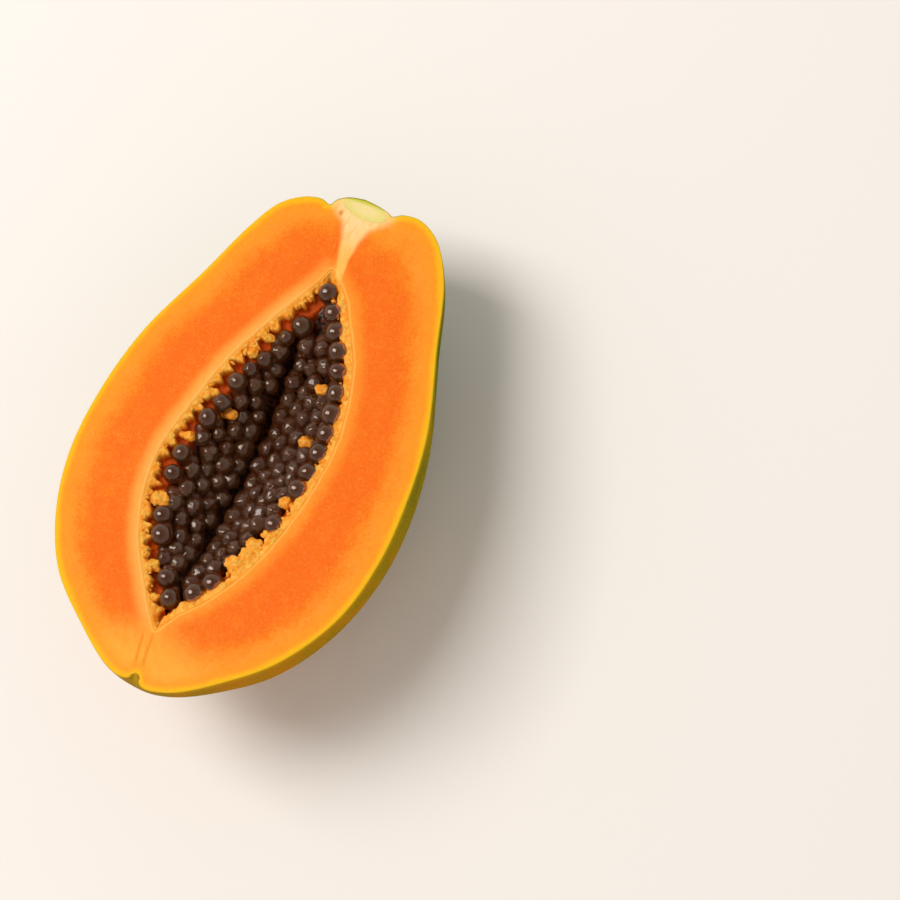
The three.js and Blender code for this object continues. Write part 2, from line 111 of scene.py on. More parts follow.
# Lumps between those of the right bank, which no seed keeps clear of.
PULP_BRIDGES = np.array([
    [49.6, -16.4, 6.4, 4.6],
    [58.0, -19.0, 4.0, 3.0],
])
LUMP_HEIGHT = 2.6
LUMP_AXIS_HEIGHT = 4  # lumps grow from the wall towards a line this far over the cut

# Seeds lie on two banks, which slope from the rims down to a groove along the middle.
RIM_SEED_DIAMETER = (6.6, 7.6)
RIM_SEED_PITCH = 7.3
RIM_PITCH_SHARE = 0.15  # of the pitch, by which a step along the rim is shorter at most
RIM_SEED_SPACING = 0.85  # least distance between rim seeds, in diameters
RIM_INSET = (6.3, 4.6)  # from the left and the right rim to the middles of its seeds
SEED_DIAMETER = (5.2, 6.7)
SEED_PITCH = 6.1
ROW_PITCH = 4.3
SEED_JITTER = 0.9  # random shift of an inner seed along its bank
SEED_LIFT = 0.9  # and off it
NUDGES = 60  # rounds of pushing overlapping seeds apart
START_SPACING = 0.68  # least distance before that, as a share of the touching one
TIP_INSET = 7.0  # from the cavity's tips to the nearest seeds
BANK_TOP = 2.6  # depth of the banks under the rim seeds
SHALLOW_SHARE = 0.5  # or this share of the cavity's depth, near its tips
GROOVE_Y = 2.4
GROOVE_CLEAR = 3.6  # from the groove's line to the nearest seeds
GROOVE_LIFT = 8.0  # of the groove over the cavity's floor
STEP = 0.25  # of a walk along a rim
UNDER_DROP = 3.4  # from the top layer of seeds to the one below
UNDER_INSET_SHARE = 0.7  # how near the rims the lower seeds go, as a share of the top layer's inset
BED_DROP = 5.2  # from the top layer to the dark bed under both
BED_DROP_SHARE = 0.35  # or this share of the cavity's depth, near its tips
BED_CLEAR = 0.15  # least height of the bed over the cavity's floor
BED_DEPTH = 2.0  # its least depth under the cut plane
BED_RELIEF = (0.5, 2.5)  # height of its relief, and how far apart that swells
BED_GRID = (180, 60)

# The seeds as meshes: sizes are shares of a seed's own size.
SEED_STRETCH = (1.04, 1.0, 0.96)
RIM_SEED_ROUGH, INNER_SEED_ROUGH, LOWER_SEED_ROUGH = 0.02, 0.14, 0.1
KERNEL_SIZE = 0.66
LOWER_SEED_SIZE = 0.95

# The fine mesh of the flesh and skin.
STEPS = 18  # rings for each station
AROUND = 120
NEAR_SKIN = (0, 0.12, 0.3, 0.6, 1.0, 1.6, 2.4, 3.4)  # rings of the cut face, mm from the skin
NEAR_RIM = (0, 0.15, 0.35, 0.7, 1.2, 1.9, 2.8)  # and mm from the cavity
FACE_RINGS = 22
WALL_RINGS = 48
FACE_DROP = 0.3  # of the cut face under its plane, which leaves room for its relief
EDGE_DROP = 0.22  # how far the cut face rounds off at the skin
RIM_DROP = 0.35  # and at the cavity
FACE_SWELL = (0.18, 9.0)  # height of its broad relief, and how far apart that swells
FACE_GRAIN = (0.08, 2.2)  # the same for its fine relief
SKIN_RELIEF = (0.1, 14.0)  # and for the skin's

# Torn pulp that lines the opening on both sides.
PULP_REACH = 6.5
PULP_SHARE = 0.56  # of the cavity's width, which limits its reach near the tips
PULP_ROOT = 0.2  # the part of it that is sunk in the flesh
PULP_RINGS = 26
PULP_SPACING = 0.2
PULP_TOP = 0.45  # depth of the top of the torn edge
PULP_DROP = 3.6  # from the torn edge to the pits beside it
PULP_FOOT = 2.5  # and from there to the strip's end
TOOTH_PITCH = 5.0
TOOTH_LENGTH = 3.6  # of the teeth on the left, beyond the ragged edge between them
CRUMBS = 220
CRUMB_SIZE = (0.7, 1.9)
CRUMB_INSET = {1: (0.5, 1.8), -1: (0.6, 4.0)}
EDGE = {1: (0.9, 1.0), -1: (2.9, 1.8)}  # mean width and spread of the ragged edge on each side
EDGE_LIMITS = (0.2, 5.0)

CAMERA_AT = (-0.1512, -0.4470, 1.1397)
CAMERA_AIM = (0.0219, -0.0613, 0.0525)
CAMERA_ROLL = math.radians(44.7)
CAMERA_LENS = 150

# A soft window of light over the fruit's left side, in an even room, in metres.
WINDOW_WAY = (0.01, 0.43, 0.90)
WINDOW_DISTANCE = 2.0
WINDOW_SIZE = (0.9, 1.4)
WINDOW_POWER = 30
WINDOW_COLOR = (1.0, 0.99, 0.985)
ROOM_COLOR = (1.0, 0.985, 0.965, 1)
ROOM_GLOW = (0.3, 1.0, 0.8, 0.2)  # from a rise of 0.3 to one of 1.0, it dims from 0.8 to 0.2
FLOOR_REACH = 4.0

REST = (
    Matrix.Translation((0, 0, -FLAT_SPOT_DEPTH))
    @ Matrix.Rotation(REST_TILT, 4, "Y")
    @ Matrix.Translation(-REST_POINT)
)
REST_TURN = np.array(REST.to_3x3())
REST_SHIFT = np.array(REST.translation)


def knots_of(rows, columns):
    chords = np.linalg.norm(np.diff(rows[:, :columns], axis=0), axis=1)
    return np.concatenate([[0], np.cumsum(np.sqrt(chords))])


def curve(rows, columns, per_station):
    """Points on a smooth curve through the rows, with the same number between each two."""
    knots = knots_of(rows, columns)
    h = np.diff(knots)
    slope = np.diff(rows, axis=0) / h[:, None]
    tangent = np.empty_like(rows)
    tangent[1:-1] = slope[:-1] * h[1:, None] + slope[1:] * h[:-1, None]
    tangent[1:-1] /= (h[:-1] + h[1:])[:, None]
    tangent[0], tangent[-1] = slope[0], slope[-1]
    i = np.repeat(np.arange(len(h)), per_station)
    q = np.tile(np.arange(per_station) / per_station, len(h))[:, None]
    i, q = np.append(i, len(h) - 1), np.append(q, [[1.0]], axis=0)
    width = h[i][:, None]
    return (
        (2 * q**3 - 3 * q**2 + 1) * rows[i]
        + (q**3 - 2 * q**2 + q) * width * tangent[i]
        + (-2 * q**3 + 3 * q**2) * rows[i + 1]
        + (q**3 - q**2) * width * tangent[i + 1]
    )


def smoothstep(low, high, value):
    share = np.clip((value - low) / (high - low), 0, 1)
    return share * share * (3 - 2 * share)


def between(low_high, share):
    return low_high[0] + (low_high[1] - low_high[0]) * share


def signed_power(value, power):
    return np.sign(value) * np.abs(value) ** power


def noise_at(points, size, octaves=3, seed=0.0):
    """Smooth noise from about -1 to 1 with features of that size in mm."""
    shift = Vector((seed, seed * 1.7, seed * 2.3))
    return np.array(
        [noise.fractal(Vector(p) / size + shift, 1.0, 2.0, octaves) for p in points.reshape(-1, 3)]
    ).reshape(points.shape[:-1])


def turns_of(count):
    return np.linspace(0, np.pi, count + 1)


def grid_faces(rows, columns, start=0, flip=False):
    i, j = np.meshgrid(np.arange(rows - 1), np.arange(columns - 1), indexing="ij")
    a = start + i * columns + j
    quads = np.stack([a, a + columns, a + columns + 1, a + 1], axis=-1).reshape(-1, 4)
    return quads[:, ::-1] if flip else quads


def add_mesh(name, blocks, numbers=None, slots=None):
    """A smooth, welded mesh of blocks of points in the fruit's frame, in mm, with their faces.

    The numbers are named values at the points, and the slots are the blocks' material slots.
    """
    starts = np.cumsum([0] + [block.reshape(-1, 3).shape[0] for block, _ in blocks])
    points = np.concatenate([block.reshape(-1, 3) for block, _ in blocks])
    faces = np.concatenate([quads + start for (_, quads), start in zip(blocks, starts)])
    placed = (points @ REST_TURN.T + REST_SHIFT) * MM
    placed[:, 2] = np.maximum(placed[:, 2], 0)  # flat where it rests
    mesh = bpy.data.meshes.new(name)
    mesh.from_pydata(placed.tolist(), [], faces.tolist())
    for key, values in (numbers or {}).items():
        layer = mesh.attributes.new(key, "FLOAT", "POINT")
        layer.data.foreach_set("value", np.asarray(values, dtype=np.float32).ravel())
    if slots:
        counts = [len(quads) for _, quads in blocks]
        mesh.polygons.foreach_set("material_index", np.repeat(slots, counts))
    mesh.shade_smooth()
    work = bmesh.new()
    work.from_mesh(mesh)
    bmesh.ops.remove_doubles(work, verts=work.verts, dist=2e-6)
    bmesh.ops.dissolve_degenerate(work, edges=work.edges, dist=1e-6)
    work.to_mesh(mesh)
    work.free()
    piece = bpy.data.objects.new(name, mesh)
    bpy.context.scene.collection.objects.link(piece)
    return piece


CAVITY_ROWS = curve(CAVITY_STATIONS, 3, 12)


def cavity_at(x):
    """Left Y, right Y and depth of the cavity at X."""
    back = CAVITY_ROWS[::-1]
    return [np.interp(x, back[:, 0], back[:, c]) for c in (1, 2, 3)]


def rim_at(side, x):
    """The rim's Y on one side, and how much longer the rim is than its run in X."""
    column = 0 if side > 0 else 1
    rise = cavity_at(x + 0.5)[column] - cavity_at(x - 0.5)[column]
    return cavity_at(x)[column], np.hypot(1, rise)


def bank_height(x, y):
    """Height of the banks of seeds over the cut plane, which is always negative."""
    left, right, depth = cavity_at(x)
    top = np.minimum(BANK_TOP, depth * SHALLOW_SHARE)
    foot = np.maximum(depth - GROOVE_LIFT, top)
    edge = np.where(y > GROOVE_Y, left - RIM_INSET[0], right + RIM_INSET[1])
    span = np.where(np.abs(edge - GROOVE_Y) < 1e-6, 1, edge - GROOVE_Y)
    share = np.clip((y - GROOVE_Y) / span, 0, 1)
    return -foot + (foot - top) * share


def wall_height(x, y):
    """Height of the cavity's wall under a place inside the rims."""
    left, right, depth = cavity_at(x)
    half = np.maximum((left - right) / 2, 1e-3)
    share = (y - (left + right) / 2) / half
    return -depth * np.sqrt(np.clip(1 - share**2, 0, 1))


def body_rings(rows, turns):
    """Rings round the fruit: turn 0 is on the left of the cut face and pi on the right."""
    xl, yl, xr, yr, depth, squareness = [rows[:, c, None] for c in range(6)]
    swell = between(LOBE_SWELL, smoothstep(BELLY_X, NECK_X, (xl + xr) / 2))
    swell = swell * np.minimum(1, depth / LOBE_FADE_DEPTH)
    lobe = 1 - swell * np.sin(LOBES * turns)
    across = signed_power(np.cos(turns), 2 / squareness) * lobe
    down = np.abs(np.sin(turns)) ** (2 / squareness) * lobe
    x = (xl + xr) / 2 + (xl - xr) / 2 * across
    y = (yl + yr) / 2 + (yl - yr) / 2 * across
    return np.stack([x, y, -depth * down], axis=-1)


def distance_to(points, line):
    """Distance in mm from each point to the nearest point of a dense line, seen from above."""
    found = []
    for chunk in np.array_split(points.reshape(-1, 3)[:, :2], 40):
        gap = chunk[:, None, :] - line[None, :, :2]
        found.append(np.sqrt((gap**2).sum(axis=-1)).min(axis=1))
    return np.concatenate(found)


def resample(rows, count):
    """The same curve with points evenly spread along it."""
    chords = np.linalg.norm(np.diff(rows[:, :2], axis=0), axis=1)
    along = np.concatenate([[0], np.cumsum(chords)])
    even = np.linspace(0, along[-1], count)
    return np.stack([np.interp(even, along, rows[:, c]) for c in range(rows.shape[1])], axis=-1)


def face_side(outline, rim):
    """Half of the cut face: lines from the skin's edge to the cavity's rim."""
    span = np.linalg.norm(rim - outline, axis=1)[:, None]
    inner = np.linspace(0, 1, FACE_RINGS + 2)[1:-1]
    start, end = NEAR_SKIN[-1], NEAR_RIM[-1]
    offsets = np.concatenate(
        [
            np.tile(NEAR_SKIN, (len(outline), 1)),
            start + (span - start - end) * inner,
            span - np.array(NEAR_RIM[::-1]),
        ],
        axis=1,
    )
    share = (offsets / span)[:, :, None]
    return outline[:, None, :] * (1 - share) + rim[:, None, :] * share


def strand_share(x, y):
    """How far a place lies in the pale strand from the stem scar to the cavity's tip."""
    x_row, middle_row, width_row = STRAND_STATIONS.T
    middle = np.interp(x, x_row, middle_row)
    width = np.interp(x, x_row, width_row)
    pale = 1 - smoothstep(0.55, 1.15, np.abs(y - middle) / width)
    return pale * smoothstep(*STRAND_FADE, x)


def scar_radius(x, y):
    """Distance from the middle of the stem scar, where its lens-shaped edge is 1."""
    x, y = x - SCAR_MIDDLE[0], y - SCAR_MIDDLE[1]
    along = x * math.cos(SCAR_TURN) - y * math.sin(SCAR_TURN)
    across = x * math.sin(SCAR_TURN) + y * math.cos(SCAR_TURN)
    return np.hypot(along / SCAR_REACH[0], across / SCAR_REACH[1])


def flesh_numbers(points, outline, rim):
    """Numbers that drive the colour of the flesh and skin."""
    x, y = points[:, 0], points[:, 1]
    return {
        "from_skin": distance_to(points, outline),
        "from_rim": distance_to(points, rim),
        "pale": strand_share(x, y),
        "scar": scar_radius(x, y),
        "along": x,
        "across": y,
        "depth": -points[:, 2],
    }


def shape_face(faces, outline, rim):
    """Gives the cut face a faint relief, and rounds it off at the skin and the cavity."""
    from_skin = distance_to(faces, outline).reshape(faces.shape[:-1])
    from_rim = distance_to(faces, rim).reshape(faces.shape[:-1])
    relief = FACE_SWELL[0] * noise_at(faces, FACE_SWELL[1], 2)
    relief += FACE_GRAIN[0] * noise_at(faces, FACE_GRAIN[1], 3, seed=4)
    faces[..., 2] = -FACE_DROP + relief * smoothstep(0, 4, from_skin)
    faces[..., 2] -= EDGE_DROP * np.exp(-from_skin / 0.22)
    faces[..., 2] -= RIM_DROP * np.exp(-((from_rim / 0.55) ** 1.5))


def shape_skin(skin, rows):
    """Makes the skin faintly uneven, always inwards."""
    centre = np.zeros((len(rows), 3))
    centre[:, 0] = (rows[:, 0] + rows[:, 2]) / 2
    centre[:, 1] = (rows[:, 1] + rows[:, 3]) / 2
    out = skin - centre[:, None, :]
    out /= np.maximum(np.linalg.norm(out, axis=-1), 1e-6)[..., None]
    relief = SKIN_RELIEF[0] * (noise_at(skin, SKIN_RELIEF[1], 3, seed=8) - 1)
    relief *= np.sqrt(np.sin(turns_of(AROUND)))
    skin += out * np.minimum(relief, 0)[..., None]


def cavity_wall(cavity):
    turns = turns_of(WALL_RINGS)
    half = (cavity[:, 1] - cavity[:, 2])[:, None] / 2
    middle = (cavity[:, 1] + cavity[:, 2])[:, None] / 2
    x = np.repeat(cavity[:, :1], WALL_RINGS + 1, axis=1)
    return np.stack([x, middle + half * np.cos(turns), -cavity[:, 3:4] * np.sin(turns)], axis=-1)


def build_fruit():
    """The flesh's cut face, the cavity's wall and the skin, welded into one closed mesh."""
    rows = curve(FRUIT_STATIONS, 4, STEPS)
    rows[:, :5] = (rows[:, :5] - [REST_POINT.x, 0, REST_POINT.x, 0, 0]) * TRIM
    rows[:, [0, 2]] += REST_POINT.x
    skin = body_rings(rows, turns_of(AROUND))
    cavity = resample(curve(CAVITY_STATIONS, 3, 30), len(rows))
    for end in (0, -1):
        cavity[end, 1:3] = cavity[end, 1:3].mean()
    level = np.zeros(len(rows))
    left_rim = np.stack([cavity[:, 0], cavity[:, 1], level], axis=-1)
    right_rim = np.stack([cavity[:, 0], cavity[:, 2], level], axis=-1)
    outline = np.concatenate([skin[:, 0], skin[::-1, -1]])
    rim = np.concatenate([left_rim, right_rim[::-1]])

    faces = np.stack([face_side(skin[:, 0], left_rim), face_side(skin[:, -1], right_rim)])
    shape_face(faces, outline, rim)
    shape_skin(skin, rows)
    skin[:, [0, -1], 2] = faces[:, :, 0, 2].T
    wall = cavity_wall(cavity)
    wall[:, 1:-1, 2] = np.minimum(wall[:, 1:-1, 2], faces[0, :, -1:, 2])
    wall[:, [0, -1], 2] = faces[:, :, -1, 2].T

    blocks = []
    for block, flip in ((skin, True), (faces[0], False), (faces[1], True), (wall, False)):
        blocks.append((block, grid_faces(*block.shape[:2], flip=flip)))
    points = np.concatenate([block.reshape(-1, 3) for block, _ in blocks])
    return add_mesh("papaya", blocks, flesh_numbers(points, outline, rim), [0, 1, 1, 1])


def rim_line(side):
    """Points evenly spread along one rim of the cavity."""
    cavity = curve(CAVITY_STATIONS, 3, 60)
    line = np.stack([cavity[:, 0], cavity[:, 1 if side > 0 else 2]], axis=-1)
    length = np.linalg.norm(np.diff(line, axis=0), axis=1).sum()
    return resample(line, int(length / PULP_SPACING))


def into_cavity(line, side):
    """Level directions from the points of a rim into the cavity."""
    way = np.gradient(line, axis=0)
    way /= np.linalg.norm(way, axis=1)[:, None]
    return np.stack([way[:, 1], -way[:, 0]], axis=-1) * -side


def torn_edge(side, count):
    """Width of the torn pulp at each point of a rim. Only the left rim has long teeth."""
    walked = np.arange(count) * PULP_SPACING
    mean, spread = EDGE[side]
    track = np.stack([walked, 0 * walked, 0 * walked + 50 * side], axis=-1)
    edge = mean + spread * noise_at(track, TOOTH_PITCH, 1) + 0.7 * noise_at(track, 1.7, 2, 3)
    if side > 0:
        swing = np.cos(2 * np.pi * walked / TOOTH_PITCH + 4.0 * noise_at(track, 9, 1, 5))
        edge += TOOTH_LENGTH * ((1 + swing) / 2) ** 1.2 * (0.7 + 0.9 * noise_at(track, 7, 1, 9))
    return np.clip(edge, *EDGE_LIMITS)


def pulp_strip(side):
    """Torn pulp along one rim: teeth that point into the cavity, with pits between them."""
    line = rim_line(side)
    left, right, _ = cavity_at(line[:, 0])
    reach = np.minimum(PULP_REACH, (left - right) * PULP_SHARE)[:, None]
    inset = -PULP_ROOT + (reach + PULP_ROOT) * np.linspace(0, 1, PULP_RINGS) ** 1.15
    spot = line[:, None, :] + into_cavity(line, side)[:, None, :] * inset[..., None]
    flat = np.concatenate([spot, np.zeros(spot.shape[:2] + (1,))], axis=-1)

    ragged = torn_edge(side, len(line))[:, None] + 0.6 * noise_at(flat, 1.3, 2, 7)
    drop = smoothstep(ragged - 0.5, ragged + 0.7, inset)
    narrow = 1 - reach / PULP_REACH
    height = -PULP_TOP - (0.22 + 0.9 * narrow) * np.maximum(inset, 0)
    height -= PULP_DROP * drop * (1 - narrow)
    height -= PULP_FOOT * smoothstep(4.6, PULP_REACH, inset)
    height += 0.3 * noise_at(flat, 1.1, 3, 5) * smoothstep(0, 0.6, inset)
    height = np.maximum(height, wall_height(flat[..., 0], flat[..., 1]) + 0.1)
    flat[..., 2] = np.minimum(height, -0.5)
    return flat, grid_faces(*flat.shape[:2], flip=side < 0)


def ball(sides, levels):
    """Points and faces of a unit ball."""
    polar = turns_of(levels)[:, None]
    turn = np.linspace(0, 2 * np.pi, sides + 1)[None, :]
    ring = [np.sin(polar) * np.cos(turn), np.sin(polar) * np.sin(turn), np.cos(polar) + 0 * turn]
    return np.stack(ring, axis=-1).reshape(-1, 3), grid_faces(levels + 1, sides + 1)


def turned(points, draw):
    axis = draw.normal(size=3)
    turn = Matrix.Rotation(draw.uniform(0, 2 * math.pi), 3, Vector(axis).normalized())
    return points @ np.array(turn).T


def lump_reach(x, y, z):
    """Direction from a lump to the wall it grows on, and how far away that is."""
    left, right, depth = cavity_at(x)
    middle, half = (left + right) / 2, (left - right) / 2
    out = np.array([0, y - middle, z - LUMP_AXIS_HEIGHT])
    out /= np.linalg.norm(out)
    reach = 0.0
    while np.hypot((y + out[1] * reach - middle) / half, (z + out[2] * reach) / depth) < 1:
        reach += STEP
    return out, reach


def lump_of_pulp(index, x, y, length, width):
    """A ragged lump, and the root that joins it to the wall."""
    unit, quads = ball(40, 26)
    centre = np.array([x, y, float(bank_height(x, y))])
    out, reach = lump_reach(*centre)
    body = unit * [width / 2, length / 2, LUMP_HEIGHT / 2]
    body *= (1.15 + 0.34 * noise_at(body, 1.4, 4, 20 + index))[:, None]
    root = unit * width * 0.42
    root += (unit @ out)[:, None] * out * reach / 2
    root *= (1 + 0.32 * noise_at(root, 1.2, 4, 40 + index))[:, None]
    return [(body + centre, quads), (root + centre + out * reach / 2, quads)]


def crumbs_of_pulp():
    """Small torn crumbs along the inside of both rims."""
    draw = np.random.default_rng(52)
    unit, quads = ball(14, 10)
    blocks = []
    for index in range(CRUMBS):
        side = draw.choice([-1, -1, 1])
        x = draw.uniform(LAST_X + TIP_INSET, FIRST_X - TIP_INSET)
        inset = draw.uniform(*CRUMB_INSET[side])
        rim, stretch = rim_at(side, x)
        y = rim - side * inset * stretch
        size = draw.uniform(*CRUMB_SIZE) / 2
        shape = unit * [1.0, 1.35, 0.8] * size
        shape = turned(shape * (1 + 0.5 * noise_at(shape, 0.8, 2, 60 + index))[:, None], draw)
        height = -PULP_TOP - 0.3 * inset - 0.5 * size - draw.uniform(0, 0.5)
        blocks.append((shape + [x, y, height], quads))
    return blocks


def build_pulp():
    blocks = [pulp_strip(1), pulp_strip(-1)]
    for index, row in enumerate(np.concatenate([LUMPS, PULP_BRIDGES])):
        blocks += lump_of_pulp(index, *row)
    blocks += crumbs_of_pulp()
    points = np.concatenate([block.reshape(-1, 3) for block, _ in blocks])
    lump = np.concatenate([np.full(block.size // 3, i > 1) for i, (block, _) in enumerate(blocks)])
    return add_mesh("pulp", blocks, {"depth": -points[:, 2], "lump": lump})


def random_from(seed):
    """Random numbers from 0 to 1, the same in every run."""
    state = seed
    while True:
        state = state * 16807 % 2147483647
        yield state / 2147483647


def lump_balls():
    """The lumps as rows of X, Y, Z, radius and no lift, which the seeds keep clear of."""
    return [[x, y, float(bank_height(x, y)), width / 2, 0] for x, y, _, width in LUMPS.tolist()]


def place_rim_seeds(draw, lumps):
    """A row of large seeds along each rim, left open where a lump stands.

    A seed is X, Y, Z, radius, lift over its bank.
    """
    seeds = []
    for side in (1, -1):
        walked = RIM_SEED_PITCH
        for x in np.arange(FIRST_X - TIP_INSET, LAST_X + TIP_INSET, -STEP):
            rim, stretch = rim_at(side, x)
            walked += STEP * stretch
            if walked < RIM_SEED_PITCH:
                continue
            walked = RIM_SEED_PITCH * RIM_PITCH_SHARE * next(draw)
            radius = between(RIM_SEED_DIAMETER, next(draw)) / 2
            lift = SEED_LIFT / 2 * (2 * next(draw) - 1)
            y = rim - side * RIM_INSET[0 if side > 0 else 1] * stretch
            seed = [x, y, float(bank_height(x, y)) + lift, radius, lift]
            clear = (y - GROOVE_Y / 2) * side >= 0
            clear &= all(math.dist(seed[:3], lump[:3]) >= lump[3] + radius for lump in lumps)
            spacing = 2 * radius * RIM_SEED_SPACING
            if clear and all(math.dist(seed[:3], other[:3]) > spacing for other in seeds):
                seeds.append(seed)
    return seeds


def place_inner_seeds(draw, others):
    """Staggered rows of smaller seeds between the rim rows, and in the gaps of those."""
    seeds = []
    reach = CAVITY_STATIONS[:, 1:3]
    for row, y in enumerate(np.arange(reach.min(), reach.max(), ROW_PITCH)):
        first = LAST_X + (row + 1) % 2 * SEED_PITCH / 2
        for x in np.arange(first, FIRST_X, SEED_PITCH):
            spot = [v + SEED_JITTER * (2 * next(draw) - 1) for v in (x, y)]
            radius = between(SEED_DIAMETER, next(draw)) / 2
            lift = SEED_LIFT * (2 * next(draw) - 1)
            left, right, _ = cavity_at(spot[0])
            if not right + RIM_INSET[1] <= spot[1] <= left - RIM_INSET[0]:
                continue
            seed = [*spot, float(bank_height(*spot)) + lift, radius, lift]
            gaps = [math.dist(seed[:3], o[:3]) - (o[3] + radius) * START_SPACING for o in others]
            if min(gaps) > 0:
                seeds.append(seed)
    return seeds


def nudge(seed, other, share):
    """Moves a seed off whatever it overlaps, by the given share of the overlap."""
    gap = math.dist(seed[:3], other[:3])
    overlap = seed[3] + other[3] - gap
    if overlap > 0:
        step = overlap * share / gap
        seed[:2] = [a + (a - b) * step for a, b in zip(seed[:2], other[:2])]


def inside_rims(seeds):
    """Puts seeds that have strayed back between the rims and on their banks."""
    rows = np.array(seeds)
    x = np.clip(rows[:, 0], LAST_X + TIP_INSET, FIRST_X - TIP_INSET)
    left, left_stretch = rim_at(1, x)
    right, right_stretch = rim_at(-1, x)
    high = left - RIM_INSET[0] * left_stretch
    low = right + RIM_INSET[1] * right_stretch
    y = np.where(high > low, np.clip(rows[:, 1], low, high), (left + right) / 2)
    above = np.maximum(y, np.minimum(GROOVE_Y + GROOVE_CLEAR, high))
    under = np.minimum(y, np.maximum(GROOVE_Y - GROOVE_CLEAR, low))
    y = np.where(y > GROOVE_Y, above, under)
    z = bank_height(x, y) + rows[:, 4]
    return np.stack([x, y, z, rows[:, 3], rows[:, 4]], axis=-1).tolist()


def place_seeds():
    """The top layer: the rim rows, and the inner seeds nudged apart along the banks."""
    draw = random_from(20260)
    lumps = lump_balls()
    rim_seeds = place_rim_seeds(draw, lumps)
    inner_seeds = place_inner_seeds(draw, rim_seeds + lumps)
    for _ in range(NUDGES):
        for seed in inner_seeds:
            for other in inner_seeds:
                if other is not seed:
                    nudge(seed, other, 0.5)
            for other in rim_seeds + lumps:
                nudge(seed, other, 1)
        inner_seeds = inside_rims(inner_seeds)
    return np.array(rim_seeds), np.array(inner_seeds)


def seed_balls(seeds, scale, sides, levels, rough, seed):
    """An uneven ball for each seed, with a random tint from 0 to 1."""
    draw = np.random.default_rng(seed)
    unit, quads = ball(sides, levels)
    blocks, tints = [], []
    for index, (x, y, z, radius) in enumerate(seeds[:, :4]):
        swell = 1 + rough * noise_at(unit + index * 7.3, 0.8, 2)[:, None]
        shape = turned(unit * swell * SEED_STRETCH, draw) * radius * scale
        blocks.append((shape + [x, y, z], quads))
        tints.append(np.full(len(unit), draw.uniform()))
    return blocks, np.concatenate(tints)


def build_seeds(name, groups, scale, sides, levels):
    """One mesh of a ball for each seed. A group is its seeds with how rough they are."""
    blocks, tints, uneven = [], [], []
    for index, (seeds, rough) in enumerate(groups):
        made, tint = seed_balls(seeds, scale, sides, levels, rough, 3 + index)
        blocks += made
        tints.append(tint)
        uneven.append(np.full(len(tint), rough))
    return add_mesh(name, blocks, {"tint": np.concatenate(tints), "uneven": np.concatenate(uneven)})


def lower_layer(seeds):
    """Seeds of the second layer, which show in the gaps of the first."""
    under = seeds.copy()
    under[:, :2] += [SEED_PITCH / 2, ROW_PITCH / 2]
    left, right, _ = cavity_at(under[:, 0])
    high = left - RIM_INSET[0] * UNDER_INSET_SHARE
    low = right + RIM_INSET[1] * UNDER_INSET_SHARE
    under = under[(under[:, 1] < high) & (under[:, 1] > low)]
    under[:, 2] = bank_height(under[:, 0], under[:, 1]) - UNDER_DROP
    return under


def build_bed():
    """The floor under the seeds: the banks, lowered, from rim to rim. Its dark brown is partly the
    tone of seeds deeper down and partly painted shade in the gaps and the groove.
    """
    x = np.linspace(LAST_X + TIP_INSET, FIRST_X - TIP_INSET, BED_GRID[0])
    share = np.linspace(0, 1, BED_GRID[1])
    left, right, depth = cavity_at(x)
    y = left[:, None] + (right - left)[:, None] * share
    x = x[:, None] + 0 * y
    drop = np.minimum(BED_DROP, depth * BED_DROP_SHARE)[:, None]
    z = np.maximum(bank_height(x, y) - drop, wall_height(x, y) + BED_CLEAR)
    points = np.stack([x, y, z], axis=-1)
    points[..., 2] += BED_RELIEF[0] * noise_at(points, BED_RELIEF[1], 2)
    points[..., 2] = np.minimum(points[..., 2], -BED_DEPTH)
    return add_mesh("seed_bed", [(points, grid_faces(*BED_GRID, flip=True))])


def srgb(red, green, blue):
    """Linear colour from the 0 to 255 scale."""
    def linear(v):
        v /= 255
        return v / 12.92 if v <= 0.04045 else ((v + 0.055) / 1.055) ** 2.4

    return (linear(red), linear(green), linear(blue), 1.0)


